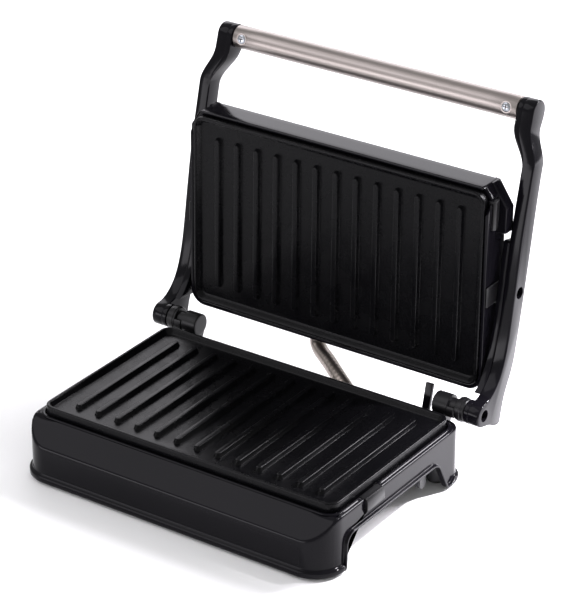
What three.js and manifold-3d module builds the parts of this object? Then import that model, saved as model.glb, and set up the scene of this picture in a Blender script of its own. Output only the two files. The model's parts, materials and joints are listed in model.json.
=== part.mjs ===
// Panini press: a hinged contact grill with a floating lid, two ribbed cooking plates and a steel grip bar.
// Units are millimetres. X runs across the press, Y towards the hinge, Z up.
// The arms and the lid are drawn closed, then turned open about the hinge and the lid pivot.
import * as THREE from "three";
import { mergeVertices } from "three/addons/utils/BufferGeometryUtils.js";
import Module from "manifold-3d";

const wasm = await Module();
wasm.setup();

// ---------- driving dimensions ----------
const fit = 0.3; // clearance between pieces that touch
const slideFit = 0.6; // clearance round the plates and the latches

const plateWidth = 230;
const plateDepth = 139;
const plateCorner = 8;
const plateHeight = 10.5;
const plateWall = 3;
const plateRecess = 4; // from the rim down to the cooking floor
const plateFloor = 3.5;
const rimSlope = 4.5; // width of the sloped inner side of the rim
const ribCount = 13;
const ribPitch = (plateWidth - 22) / ribCount;
const ribLength = plateDepth - 27;
const ribWidth = 5;
const ribHeight = 3;

const footHeight = 2;
const footRadius = 6;
const baseHeight = 39.1; // housing, from its lip to its top ledge
const ledgeWidth = 4.9;
const frontOverhang = 17.5; // front wall, in front of the plate
const rearOverhang = 5.5;
const baseWall = 2.5;
const baseFrontCorner = 20;
const baseRearCorner = 10;
const bevelDrop = 14.4; // height and depth of the inclined front panel
const lipFlare = 2.3;
const lipHeight = 3.2;
const archHeight = 23.6;
const archFront = -63.4; // top of the arch, front and rear
const archRear = 46.5;
const archFrontLean = 1;
const archRearLean = 8;
const coverLevel = 20; // underside of the bottom cover
const coverThickness = 2;
const plateProud = 6.4; // how far the lower rim stands above the ledge

const hingeBehindPlate = 13.3;
const hingeBelowRim = 0.7;
const barrelRadius = 7.8;
const barrelInset = 1.9; // outer end of the barrel, inwards from the plate's side
const barrelLength = 17;
const collarLength = 7;
const toothLength = 5.3;
const bossRadius = 8.2;
const hingePinRadius = 3;
const riserWidth = 10;

const armStandOff = 17.5; // outer face, outwards from the plate's side
const armWidth = 9;
const armInset = 8; // how far the upper ends bend towards each other
const bendBefore = 34.3; // where the bend starts, back from the grip axis
const bendLength = 25;
const armCoverWidth = 4;
const armCoverStart = 12;
const armCoverEnd = 115;
const socketWidth = 3.2;
const socketLength = 30.3; // back from the grip axis
const openAngle = 103.2;

const handleReach = plateDepth + 60.3; // grip axis from the hinge axis, lid closed
const handleRise = 25.5;
const handleRadius = 8;
const handleWall = 1.2;
const tongueLength = 20;
const handleScrewInset = 7.8;
const screwHeadRadius = 3.3;
const screwShankRadius = 1.8;

const rimGap = 0.5; // between the two rims, lid closed
const lidTilt = 12.3; // how far the open lid swings forward on its pivots
const pivotAboveRim = 21.2;
const pivotBehindMiddle = 2.3;
const lidForward = 1; // the closed lid sits this far ahead of the lower plate
const pivotPinRadius = 3.5;
const lidHeight = 36;
const lidWall = 2.4;
const lidFrontEdge = 24;
const lidShoulder = 20;
const wingReach = 4.6;
const wingFront = 54.5;
const wingRear = 38.5;
const wingLow = 19;
const wingHigh = 26;
const bracketThickness = 1;
const bracketWidth = 14;

const conduitRadius = 5.5;
const conduitBaseX = 30;
const conduitBaseZ = 28;
const conduitLidX = -21;
const conduitLidRise = 15.4;

// ---------- derived places ----------
const ledgeTop = footHeight + baseHeight;
const rimTop = ledgeTop + plateProud;
const plateHalfX = plateWidth / 2;
const plateHalfY = plateDepth / 2;
const baseHalfX = plateHalfX + slideFit + ledgeWidth;
const baseFront = -plateHalfY - frontOverhang;
const baseRear = plateHalfY + rearOverhang;
const coverTop = coverLevel + coverThickness;
const hingeY = plateHalfY + hingeBehindPlate;
const hingeZ = rimTop - hingeBelowRim;
const upperRim = rimTop + rimGap;
const pivotY = pivotBehindMiddle;
const pivotZ = upperRim + pivotAboveRim;
const lidPivotY = pivotY + lidForward;
const lidHalfX = plateHalfX + slideFit + lidWall;
const lidFront = -plateHalfY - slideFit - lidWall;
const lidRear = plateHalfY + slideFit + lidWall;
const barrelOuter = plateHalfX - barrelInset;
const barrelInner = barrelOuter - barrelLength;
const toothInner = barrelOuter - toothLength;
const collarOuter = barrelOuter + fit + collarLength;
const armOuter = plateHalfX + armStandOff;
const armInner = armOuter - armWidth;
const bendStart = handleReach - bendBefore;
const bendEnd = bendStart + bendLength;
const socketStart = handleReach - socketLength;
const handleY = hingeY - handleReach;
const handleZ = hingeZ + handleRise;
const gripHalf = armInner - armInset - socketWidth - fit;
const radians = (degrees) => (degrees * Math.PI) / 180;

// ---------- solids from three.js geometry ----------
function solid(geometry) {
  const bare = geometry.index ? geometry.toNonIndexed() : geometry.clone();
  bare.deleteAttribute("normal");
  bare.deleteAttribute("uv");
  const merged = mergeVertices(bare, 1e-4);
  return new wasm.Manifold(
    new wasm.Mesh({
      numProp: 3,
      vertProperties: new Float32Array(merged.attributes.position.array),
      triVerts: new Uint32Array(merged.index.array),
    }),
  );
}

function geometryOf(body) {
  const mesh = body.getMesh();
  const geometry = new THREE.BufferGeometry();
  geometry.setAttribute("position", new THREE.BufferAttribute(mesh.vertProperties, mesh.numProp));
  geometry.setIndex(new THREE.BufferAttribute(mesh.triVerts, 1));
  const flat = geometry.toNonIndexed();
  flat.computeVertexNormals();
  return flat;
}

const join = (first, ...others) => others.reduce((sum, next) => sum.add(next), first);
const cut = (first, ...others) => others.reduce((rest, next) => rest.subtract(next), first);
const common = (first, ...others) => others.reduce((rest, next) => rest.intersect(next), first);

const alongX = new THREE.Matrix4().makeBasis(
  new THREE.Vector3(0, 1, 0),
  new THREE.Vector3(0, 0, 1),
  new THREE.Vector3(1, 0, 0),
);
const alongY = new THREE.Matrix4().makeBasis(
  new THREE.Vector3(1, 0, 0),
  new THREE.Vector3(0, 0, 1),
  new THREE.Vector3(0, -1, 0),
);

function extruded(outline, length) {
  const shape = outline instanceof THREE.Shape ? outline : new THREE.Shape(outline);
  return new THREE.ExtrudeGeometry(shape, { depth: length, bevelEnabled: false, curveSegments: 6 });
}

// An (x, y) outline raised from z0 to z1.
const prismZ = (outline, z0, z1) => solid(extruded(outline, z1 - z0).translate(0, 0, z0));
// A (y, z) outline carried from x0 to x1.
const prismX = (outline, x0, x1) =>
  solid(extruded(outline, x1 - x0).applyMatrix4(alongX).translate(x0, 0, 0));
// An (x, z) outline carried from y0 to y1.
const prismY = (outline, y0, y1) =>
  solid(extruded(outline, y1 - y0).applyMatrix4(alongY).translate(0, y1, 0));

function block(x0, x1, y0, y1, z0, z1) {
  const geometry = new THREE.BoxGeometry(x1 - x0, y1 - y0, z1 - z0);
  return solid(geometry.translate((x0 + x1) / 2, (y0 + y1) / 2, (z0 + z1) / 2));
}

function rodX(radius, x0, x1, y, z, sides = 24) {
  const geometry = new THREE.CylinderGeometry(radius, radius, x1 - x0, sides).rotateZ(Math.PI / 2);
  return solid(geometry.translate((x0 + x1) / 2, y, z));
}

function rodY(radius, y0, y1, x, z, sides = 24) {
  const geometry = new THREE.CylinderGeometry(radius, radius, y1 - y0, sides);
  return solid(geometry.translate(x, (y0 + y1) / 2, z));
}

function rodZ(radius, z0, z1, x, y, sides = 24) {
  const geometry = new THREE.CylinderGeometry(radius, radius, z1 - z0, sides).rotateX(Math.PI / 2);
  return solid(geometry.translate(x, y, (z0 + z1) / 2));
}

function roundedRectangle(x0, x1, y0, y1, frontCorner, rearCorner = frontCorner) {
  const shape = new THREE.Shape();
  shape.absarc(x1 - frontCorner, y0 + frontCorner, frontCorner, -Math.PI / 2, 0);
  shape.absarc(x1 - rearCorner, y1 - rearCorner, rearCorner, 0, Math.PI / 2);
  shape.absarc(x0 + rearCorner, y1 - rearCorner, rearCorner, Math.PI / 2, Math.PI);
  shape.absarc(x0 + frontCorner, y0 + frontCorner, frontCorner, Math.PI, Math.PI * 1.5);
  return shape;
}

// A rod along a smooth path through the given points.
function bentRod(points, radius, steps, sides = 8) {
  const section = new THREE.Shape();
  section.absarc(0, 0, radius, 0, Math.PI * 2);
  const path = new THREE.CatmullRomCurve3(points.map((p) => new THREE.Vector3(...p)), false, "centripetal");
  return solid(
    new THREE.ExtrudeGeometry(section, {
      steps,
      curveSegments: sides,
      extrudePath: path,
      bevelEnabled: false,
    }),
  );
}

const arcPoints = (x, y, radius, from, to, count) =>
  Array.from({ length: count + 1 }, (_, i) => {
    const angle = radians(from + ((to - from) * i) / count);
    return new THREE.Vector2(x + radius * Math.cos(angle), y + radius * Math.sin(angle));
  });

const bezierPoints = (p0, p1, p2, p3, count) =>
  new THREE.CubicBezierCurve(
    new THREE.Vector2(...p0),
    new THREE.Vector2(...p1),
    new THREE.Vector2(...p2),
    new THREE.Vector2(...p3),
  ).getPoints(count);

// ---------- materials ----------
const finish = (color, roughness, metalness) =>
  new THREE.MeshStandardMaterial({ color, roughness, metalness });
const glossBlack = finish(0x1b1a1d, 0.12, 0);
const satinBlack = finish(0x202023, 0.45, 0);
const nonStick = finish(0x1c1b1e, 0.7, 0.1);
const brushedSteel = finish(0x9a928d, 0.35, 1);
const zinc = finish(0xb9bcc0, 0.3, 1);
const sheetSteel = finish(0x8d8f92, 0.45, 1);
const heaterSteel = finish(0x5f5b58, 0.5, 1);
const rubber = finish(0x17171a, 0.85, 0);
const ceramic = finish(0xd9d4c8, 0.6, 0);
const redLens = finish(0xa81f16, 0.15, 0);
const greenLens = finish(0x1f8a3a, 0.15, 0);

const press = new THREE.Group();
const base = new THREE.Group();
press.add(base);

function turning(parent, y, z, degrees) {
  const axis = new THREE.Group();
  axis.position.set(0, y, z);
  axis.rotation.x = radians(degrees);
  const inner = new THREE.Group();
  inner.position.set(0, -y, -z);
  axis.add(inner);
  parent.add(axis);
  return inner;
}

const arms = turning(press, hingeY, hingeZ, -openAngle);
const lid = turning(arms, pivotY, pivotZ, lidTilt);
lid.position.y -= lidForward;

function add(parent, name, body, material) {
  const mesh = new THREE.Mesh(geometryOf(body), material);
  mesh.name = name;
  parent.add(mesh);
}

const sides = [
  ["left", -1],
  ["right", 1],
];
const mirroredX = (body, side) => (side > 0 ? body : body.mirror([1, 0, 0]));

// ---------- cooking plates ----------
// Drawn with its rim at z = 0 and its body below.
function cookingPlate() {
  const outer = roundedRectangle(-plateHalfX, plateHalfX, -plateHalfY, plateHalfY, plateCorner);
  const floorInset = plateWall + rimSlope;
  const floorOutline = roundedRectangle(
    -plateHalfX + floorInset,
    plateHalfX - floorInset,
    -plateHalfY + floorInset,
    plateHalfY - floorInset,
    plateCorner / 2,
  );
  const recess = solid(
    new THREE.ExtrudeGeometry(floorOutline, {
      depth: 1,
      curveSegments: 4,
      bevelThickness: plateRecess,
      bevelSize: rimSlope,
      bevelSegments: 1,
    }),
  );
  const hollow = prismZ(
    roundedRectangle(
      -plateHalfX + plateWall,
      plateHalfX - plateWall,
      -plateHalfY + plateWall,
      plateHalfY - plateWall,
      plateCorner - plateWall,
    ),
    -plateHeight - 1,
    -plateRecess - plateFloor,
  );
  let plate = cut(prismZ(outer, -plateHeight, 0), recess, hollow);
  for (let i = 0; i < ribCount; i++) {
    const x = (i - (ribCount - 1) / 2) * ribPitch;
    const half = ribWidth / 2;
    const outline = new THREE.Shape([
      ...arcPoints(x, ribLength / 2 - half, half, 0, 180, 6),
      ...arcPoints(x, -ribLength / 2 + half, half, 180, 360, 6),
    ]);
    plate = plate.add(prismZ(outline, -plateRecess - 0.5, -plateRecess + ribHeight));
  }
  return plate;
}

add(base, "lower_plate", cookingPlate().translate([0, 0, rimTop]), nonStick);
add(lid, "upper_plate", cookingPlate().rotate([180, 0, 0]).translate([0, 0, upperRim]), nonStick);

// ---------- base housing ----------
const innerX = baseHalfX - baseWall;

function baseProfile(inset, bottom) {
  const top = ledgeTop - inset;
  const panelTop = -plateHalfY - (frontOverhang - bevelDrop) + inset * 0.41;
  const panelFoot = ledgeTop - bevelDrop - inset * 0.41;
  return [
    [baseFront - lipFlare * 2 + inset, bottom],
    [baseRear + lipFlare * 2 - inset, bottom],
    [baseRear + lipFlare * 2 - inset, top],
    [panelTop, top],
    [baseFront + inset, panelFoot],
    [baseFront - lipFlare * 2 + inset, panelFoot - lipFlare * 2],
  ].map(([y, z]) => new THREE.Vector2(y, z));
}

const baseOutline = (grow) =>
  roundedRectangle(
    -baseHalfX - grow,
    baseHalfX + grow,
    baseFront - grow,
    baseRear + grow,
    baseFrontCorner + grow,
    baseRearCorner + grow,
  );

const plateOpening = roundedRectangle(
  -plateHalfX - slideFit,
  plateHalfX + slideFit,
  -plateHalfY - slideFit,
  plateHalfY + slideFit,
  plateCorner + slideFit,
);

// The side arch, wider below, with a round shoulder at each end.
function archOutline(top) {
  const frontShoulder = 7;
  const rearShoulder = 9;
  return [
    new THREE.Vector2(archFront - archFrontLean, -1),
    new THREE.Vector2(archRear + archRearLean, -1),
    ...arcPoints(archRear - rearShoulder, top - rearShoulder, rearShoulder, 0, 90, 5),
    ...arcPoints(archFront + frontShoulder, top - frontShoulder, frontShoulder, 90, 180, 5),
  ];
}

const latchWidth = 20;
const springLength = 5;
const springRadius = 1.8;
const springWire = 0.4;
const springTurns = 4;
const latchY = -32;
const leverX = 77;

function baseHousing() {
  const outer = common(
    join(
      prismZ(baseOutline(0), footHeight, ledgeTop),
      prismZ(baseOutline(lipFlare), footHeight, footHeight + lipHeight),
    ),
    prismX(baseProfile(0, footHeight), -baseHalfX - 10, baseHalfX + 10),
  );
  const inner = common(
    prismZ(baseOutline(-baseWall), 0, ledgeTop),
    prismX(baseProfile(baseWall, 0), -innerX - 1, innerX + 1),
  );
  const latchSlot = block(innerX - 2, baseHalfX + 1, latchY - latchWidth / 2 - fit,
    latchY + latchWidth / 2 + fit, ledgeTop - 9, ledgeTop + 1);
  const riserSlots = sides.map(([, side]) =>
    mirroredX(
      block(barrelInner - fit, barrelInner + riserWidth + fit, baseRear - baseWall - 1,
        baseRear + 1, coverTop + 2, ledgeTop - 5),
      side,
    ),
  );
  return cut(
    outer,
    inner,
    prismZ(plateOpening, ledgeTop - baseWall - 2, ledgeTop + 1),
    prismX(archOutline(footHeight + archHeight), -baseHalfX - 10, baseHalfX + 10),
    latchSlot,
    ...riserSlots,
    rodY(conduitRadius + 2, baseRear - baseWall - 1, baseRear + 1, conduitBaseX, conduitBaseZ),
    block(-inletHalf - fit, inletHalf + fit, baseRear - baseWall - 1, baseRear + 1,
      inletLow - fit, inletHigh + fit).translate([inletX, 0, 0]),
  );
}

const inletX = -60;
const inletHalf = 8;
const inletLow = 6;
const inletHigh = 18;
const leverZ = 27.5;

add(base, "base_housing", baseHousing(), glossBlack);

// ---------- bottom cover, legs, feet and screws ----------
const legRadius = 7;
const legs = [
  ["front_left", -1, -66],
  ["front_right", 1, -66],
  ["rear_left", -1, 64.5],
  ["rear_right", 1, 64.5],
];
const legX = innerX - legRadius - 3;
const screwOffset = 22;
const screwHead = 2;

const lugRadius = 3.6;
const lugDrop = 8.5;
const lugY = 38;

function bottomCover() {
  const rim = prismZ(baseOutline(-baseWall - fit), coverLevel, coverTop);
  let cover = rim;
  for (const [, side, y] of legs) {
    cover = cover.add(rodZ(legRadius, footHeight + fit, coverLevel + 0.5, side * legX, y, 20));
    cover = cover.subtract(rodZ(3, footHeight, footHeight + 3, side * legX, y, 12));
    const x = side * (legX - screwOffset);
    cover = cover.subtract(rodZ(screwHeadRadius + fit, coverLevel - 1, coverLevel + 1, x, y, 16));
    cover = cover.subtract(rodZ(screwShankRadius + fit, coverLevel - 1, coverTop + 1, x, y, 12));
  }
  for (const side of [-1, 1]) {
    const lug = join(
      rodX(lugRadius, 110, 114, lugY, coverLevel - lugDrop, 16),
      block(110, 114, lugY - lugRadius, lugY + lugRadius, coverLevel - lugDrop, coverLevel + 0.5),
    );
    cover = cover.add(mirroredX(lug, side));
  }
  const seatX = baseHalfX - baseWall - 6 - 2 * fit - springLength;
  cover = cover.add(block(seatX - 2.5, seatX, latchY - 4, latchY + 4, coverTop - 0.5, ledgeTop - 10.5));
  for (let i = -4; i <= 4; i++) {
    cover = cover.subtract(block(i * 12 - 2, i * 12 + 2, -30, 10, coverLevel - 1, coverTop + 1));
  }
  return cover;
}

add(base, "bottom_cover", bottomCover(), satinBlack);

for (const [place, side, y] of legs) {
  const pad = join(
    rodZ(footRadius, 0, footHeight, side * legX, y, 20),
    rodZ(3 - fit, footHeight - 0.5, footHeight + 2.5, side * legX, y, 12),
  );
  add(base, `foot_${place}`, pad, rubber);
  const x = side * (legX - screwOffset);
  const screw = join(
    rodZ(screwHeadRadius, coverLevel + 1 - fit - screwHead, coverLevel + 1 - fit, x, y, 16),
    rodZ(screwShankRadius, coverLevel + 0.5, coverTop + 5, x, y, 12),
  );
  const slot = block(x - 2.4, x + 2.4, y - 0.5, y + 0.5, coverLevel - 2, coverLevel - 0.3);
  const crossSlot = block(x - 0.5, x + 0.5, y - 2.4, y + 2.4, coverLevel - 2, coverLevel - 0.3);
  add(base, `cover_screw_${place}`, cut(screw, slot, crossSlot), zinc);
}

// ---------- heaters, reflectors and controls ----------
const heaterRadius = 3.2;
const heaterBelowRim = plateRecess + plateFloor + fit + heaterRadius;
const reflectorBelowRim = heaterBelowRim + heaterRadius + 1.5;
const reflectorThickness = 0.8;
const reflectorHalfX = 98;
const reflectorHalfY = 56;
const thermostatRadius = 7;

// Both heaters are a long rod folded twice, drawn below a rim at z = 0.
function heater() {
  const reach = 89;
  const z = -heaterBelowRim;
  return bentRod(
    [
      [-30, 58, z], [-60, 52, z], [-reach, 44, z], [-reach - 5, 0, z], [-reach, -44, z],
      [-60, -48, z], [0, -48, z], [60, -48, z], [reach, -44, z], [reach + 5, 0, z],
      [reach, 44, z], [60, 52, z], [30, 58, z],
    ],
    heaterRadius,
    48,
    4,
  );
}

function reflector() {
  const top = -reflectorBelowRim;
  const sheet = prismZ(
    roundedRectangle(-reflectorHalfX, reflectorHalfX, -reflectorHalfY, reflectorHalfY, 10),
    top - reflectorThickness,
    top,
  );
  const window = prismZ(roundedRectangle(-16, 16, -14, 14, 4), top - 2, top + 1);
  return cut(sheet, window);
}

const thermostat = () =>
  join(
    rodZ(thermostatRadius, -plateRecess - plateFloor - fit - 7, -plateRecess - plateFloor - fit, 0, 0, 20),
    block(-9, 9, -2, 2, -plateRecess - plateFloor - fit - 9, -plateRecess - plateFloor - fit - 6),
  );
const fuse = () => rodX(2, 24, 44, 20, -plateRecess - plateFloor - fit - 2.5, 12);

for (const [group, level, name, body, material] of [
  [base, rimTop, "lower_heating_element", heater(), heaterSteel],
  [base, rimTop, "lower_reflector", reflector(), sheetSteel],
  [base, rimTop, "lower_thermostat", thermostat(), ceramic],
  [base, rimTop, "thermal_fuse", fuse(), ceramic],
]) {
  add(group, name, body.translate([0, 0, level]), material);
}
for (const [name, body, material] of [
  ["upper_heating_element", heater(), heaterSteel],
  ["upper_reflector", reflector(), sheetSteel],
  ["upper_thermostat", thermostat(), ceramic],
]) {
  add(lid, name, body.rotate([180, 0, 0]).translate([0, 0, upperRim]), material);
}

const terminalBlock = cut(
  block(-70, -46, 59, 68, coverTop + fit, coverTop + 8),
  ...[-66, -58, -50].map((x) => rodZ(1.6, coverTop + 4, coverTop + 9, x, 63.5, 10)),
);
add(base, "terminal_block", terminalBlock, ceramic);

const inletGland = join(
  block(
    inletX - inletHalf,
    inletX + inletHalf,
    baseRear - baseWall - 1.5,
    baseRear + 1.5,
    inletLow,
    inletHigh,
  ),
  rodY(5.5, baseRear, baseRear + 6, inletX, (inletLow + inletHigh) / 2, 20),
);
add(
  base,
  "mains_inlet",
  cut(inletGland, rodY(3.4, baseRear - 10, baseRear + 10, inletX, (inletLow + inletHigh) / 2, 16)),
  satinBlack,
);

// ---------- plate latches ----------
const latchProud = 2.2;

// A wedge that hooks over the rim ledge, drawn for the right side with the ledge at z = 0.
function latchWedge(edgeX, z) {
  const profile = [
    [edgeX - ledgeWidth + 0.4, z + 0.3],
    [edgeX + latchProud * 0.4, z + 0.3],
    [edgeX + latchProud, z - 2],
    [edgeX + latchProud, z - 8],
    [edgeX + 0.3, z - 11],
    [edgeX + 0.3, z - 8.4],
    [edgeX - baseWall - 4, z - 8.4],
    [edgeX - baseWall - 4, z - 15],
    [edgeX - baseWall - 6, z - 15],
    [edgeX - baseWall - 6, z - 4],
    [edgeX - ledgeWidth + 0.4, z - 4],
  ].map(([x, h]) => new THREE.Vector2(x, h));
  return profile;
}

add(
  base,
  "lower_plate_latch",
  cut(
    prismY(latchWedge(baseHalfX, ledgeTop), latchY - latchWidth / 2, latchY + latchWidth / 2),
    prismZ(plateOpening, ledgeTop - plateHeight + plateProud - 0.2, ledgeTop + 2),
  ),
  satinBlack,
);

// A coil along X from the given end of its axis.
function coilSpring([x, y, z], length) {
  const count = springTurns * 8;
  const points = Array.from({ length: count + 1 }, (_, i) => {
    const angle = (i / 8) * Math.PI * 2;
    return [x + (i / count) * length, y + springRadius * Math.cos(angle), z + springRadius * Math.sin(angle)];
  });
  return bentRod(points, springWire, count, 2);
}

const latchSpringX = baseHalfX - baseWall - 6 - fit - springLength;
add(
  base,
  "lower_latch_spring",
  coilSpring([latchSpringX, latchY, ledgeTop - 13], springLength),
  zinc,
);

// ---------- hinge ----------
const toothSector = [158, 214]; // degrees, lid open, seen from the right
const travelMargin = 5;

// A wedge round the hinge axis between two angles of the (y, z) plane.
function sector(from, to, radius) {
  return [new THREE.Vector2(hingeY, hingeZ), ...arcPoints(hingeY, hingeZ, radius, from, to, 14)];
}

function hingeBarrel() {
  const riser = [
    [baseRear - 9, coverTop + fit + 2.6],
    [baseRear + 3, coverTop + fit + 2.6],
    [hingeY + barrelRadius - 0.4, hingeZ],
    [hingeY - barrelRadius + 0.4, hingeZ],
    [baseRear - fit + 1, ledgeTop - 5.6],
    [baseRear - 9, ledgeTop - 5.6],
  ].map(([y, z]) => new THREE.Vector2(y, z));
  const body = join(
    rodX(barrelRadius, barrelInner, barrelOuter, hingeY, hingeZ, 32),
    prismX(riser, barrelInner, barrelInner + riserWidth),
  );
  const toothPath = prismX(
    sector(toothSector[0] - travelMargin, toothSector[1] + openAngle + travelMargin, 20),
    toothInner - fit,
    barrelOuter + 1,
  );
  const core = rodX(barrelRadius - 2.6, barrelInner, barrelOuter, hingeY, hingeZ, 24);
  return cut(
    cut(body, cut(toothPath, core)),
    rodX(hingePinRadius + fit, barrelInner + 3, barrelOuter + 1, hingeY, hingeZ, 16),
  );
}

// Turns with the arm: drawn closed, so its tooth is turned by the open angle.
function hingeCollar() {
  const ring = rodX(bossRadius, barrelOuter + fit, collarOuter, hingeY, hingeZ, 32);
  const tooth = cut(
    common(
      rodX(bossRadius, toothInner, barrelOuter + 1, hingeY, hingeZ, 32),
      prismX(sector(toothSector[0] + openAngle, toothSector[1] + openAngle, 20), toothInner, barrelOuter + 1),
    ),
    rodX(barrelRadius - 2.6 + fit, toothInner - 1, barrelOuter + 2, hingeY, hingeZ, 24),
  );
  return cut(join(ring, tooth), rodX(hingePinRadius + fit, 0, collarOuter + 1, hingeY, hingeZ, 16));
}

// ---------- arms ----------
const onArm = (reach, rise) => [hingeY - reach, hingeZ + rise];
const armPoints = (...pairs) => pairs.map(([reach, rise]) => new THREE.Vector2(...onArm(reach, rise)));
const armCurve = (p0, p1, p2, p3, count) =>
  bezierPoints(onArm(...p0), onArm(...p1), onArm(...p2), onArm(...p3), count);

// Side view of an arm with the lid closed: boss, rear tail, nearly straight bar and round end.
function armOutline() {
  const capTop = handleRise + bossRadius;
  const capBottom = handleRise - bossRadius;
  const neck = handleReach - 39.3;
  return [
    ...armPoints([-bossRadius, 1], [-8.3, 7]),
    ...armCurve([-10.8, 17], [-11.6, 21], [-11, 23.4], [-8.5, 23.4], 4),
    ...armPoints([6, 23.8]),
    ...armCurve([14, 24.8], [24, 28], [28, 30], [38, 30], 5),
    ...armPoints([neck - 60, 29]),
    ...armCurve([neck, 27.2], [neck + 16, 27.2], [neck + 26, capTop], [handleReach, capTop], 6),
    ...arcPoints(...onArm(handleReach, handleRise), bossRadius, 90, 270, 10),
    ...armCurve(
      [handleReach, capBottom],
      [neck + 26, capBottom - 1],
      [neck + 16, 14.2],
      [neck, 14.2],
      6,
    ).slice(1),
    ...armPoints([neck - 41, 13.6]),
    ...armCurve([56, 17], [40, 18.2], [30, 17.5], [22, 12.8], 6),
    ...armCurve([22, 12.8], [12, 7], [9, 2], [bossRadius, -2], 5).slice(1),
    ...arcPoints(hingeY, hingeZ, bossRadius, 194, 352, 10).slice(1),
  ];
}

// Plan view of an arm, straight at the hinge and stepping inwards near the grip.
function armPlan(inner, outer, from, to) {
  const bend = (reach) => {
    const t = Math.min(1, Math.max(0, (reach - bendStart) / (bendEnd - bendStart)));
    return (armInset * (1 - Math.cos(Math.PI * t))) / 2;
  };
  const reaches = [from];
  const count = 8;
  for (let i = 0; i <= count; i++) {
    const reach = bendStart + ((bendEnd - bendStart) * i) / count;
    if (reach > from && reach < to) reaches.push(reach);
  }
  reaches.push(to);
  const edge = (offset) => reaches.map((reach) => new THREE.Vector2(offset - bend(reach), hingeY - reach));
  return [...edge(outer), ...edge(inner).reverse()];
}

const armBottom = hingeZ - 20;
const armTop = hingeZ + 50;
const armSide = armOutline();
const armEnd = handleReach + bossRadius + 1;
const boltRecess = 4.2;

function arm() {
  const bar = common(
    prismX(armSide, armInner - armInset - 2, armOuter),
    prismZ(armPlan(armInner, armOuter, -14, armEnd), armBottom, armTop),
  );
  const boss = rodX(bossRadius, collarOuter + fit, armInner + 1, hingeY, hingeZ, 32);
  return cut(
    join(bar, boss),
    rodX(hingePinRadius + fit, 0, armOuter + 1, hingeY, hingeZ, 16),
    rodX(boltRecess, armOuter - 3.5, armOuter + 1, hingeY, hingeZ, 20),
    rodX(pivotPinRadius + fit, 0, armOuter + 1, pivotY, pivotZ, 16),
    rodX(boltRecess, armOuter - 3, armOuter + 1, pivotY, pivotZ, 20),
  );
}

function armCover() {
  const plan = armPlan(armInner - armCoverWidth, armInner - fit, armCoverStart, armCoverEnd);
  const plate = common(
    prismX(armSide, armInner - armCoverWidth - 1, armInner),
    prismZ(plan, armBottom, armTop),
  );
  return cut(
    plate,
    rodX(bossRadius + 0.6, 100, armInner, hingeY, hingeZ, 24),
    rodX(pivotPinRadius + fit, 100, armInner, pivotY, pivotZ, 16),
  );
}

// The cheek that closes the arm's end and the tongue that holds the grip tube.
function handleSocket() {
  const plan = armPlan(armInner - socketWidth, armInner - fit, socketStart, armEnd);
  const cheek = common(prismX(armSide, 100, armInner), prismZ(plan, armBottom, armTop));
  const tongue = rodX(
    handleRadius - handleWall - fit,
    gripHalf - tongueLength,
    gripHalf + 1,
    handleY,
    handleZ,
    20,
  );
  const screwX = gripHalf - handleScrewInset;
  return cut(
    join(cheek, tongue),
    rodZ(screwShankRadius + fit, handleZ - 12, handleZ + 12, screwX, handleY, 12),
    rodZ(screwHeadRadius + fit, handleZ - 12, handleZ - handleRadius + 1.6, screwX, handleY, 16),
  );
}

function handleScrew() {
  const screwX = gripHalf - handleScrewInset;
  const headTop = handleZ - handleRadius - 0.6;
  const screw = join(
    rodZ(screwHeadRadius, headTop, headTop + 1.9, screwX, handleY, 20),
    rodZ(screwShankRadius, headTop + 1.5, handleZ + 4, screwX, handleY, 12),
  );
  return cut(
    screw,
    block(screwX - 2, screwX + 2, handleY - 0.4, handleY + 0.4, headTop - 1, headTop + 0.9),
    block(screwX - 0.4, screwX + 0.4, handleY - 2, handleY + 2, headTop - 1, headTop + 0.9),
  );
}

function gripTube() {
  const tube = cut(
    rodX(handleRadius, -gripHalf + fit, gripHalf - fit, handleY, handleZ, 32),
    rodX(handleRadius - handleWall, -gripHalf - 1, gripHalf + 1, handleY, handleZ, 32),
  );
  const holes = sides.map(([, side]) =>
    rodZ(screwHeadRadius + fit, handleZ - 12, handleZ, side * (gripHalf - handleScrewInset), handleY, 16),
  );
  return cut(tube, ...holes);
}

for (const [name, side] of sides) {
  const put = (group, part, body, material) => add(group, `${part}_${name}`, mirroredX(body, side), material);
  put(base, "hinge_barrel", hingeBarrel(), satinBlack);
  put(arms, "hinge_collar", hingeCollar(), glossBlack);
  put(arms, "arm", arm(), glossBlack);
  put(arms, "arm_cover", armCover(), glossBlack);
  put(arms, "handle_socket", handleSocket(), glossBlack);
  put(arms, "handle_screw", handleScrew(), zinc);
  const bolt = join(
    rodX(hingePinRadius, barrelInner + 3 + fit, armOuter - 3, hingeY, hingeZ, 16),
    rodX(boltRecess - fit, armOuter - 3.2, armOuter - 1.4, hingeY, hingeZ, 20),
  );
  put(arms, "hinge_pin", bolt, zinc);
  const pivot = join(
    rodX(pivotPinRadius, lidHalfX - 6, armOuter - 2.6, pivotY, pivotZ, 16),
    rodX(boltRecess - fit, armOuter - 2.7, armOuter - 0.9, pivotY, pivotZ, 20),
  );
  put(arms, "lid_pivot_pin", pivot, satinBlack);
}
add(arms, "handle_bar", gripTube(), brushedSteel);

// ---------- lid ----------
function lidProfileYZ(inset) {
  const crown = upperRim + lidHeight - inset;
  const edge = upperRim + lidFrontEdge - inset * 0.4;
  const low = upperRim - 5;
  return [
    [lidFront + inset, low],
    [lidRear - inset, low],
    [lidRear - inset, edge],
    [lidRear - lidShoulder - inset * 0.4, crown],
    [lidFront + lidShoulder + inset * 0.4, crown],
    [lidFront + inset, edge],
  ].map(([y, z]) => new THREE.Vector2(y, z));
}

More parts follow.
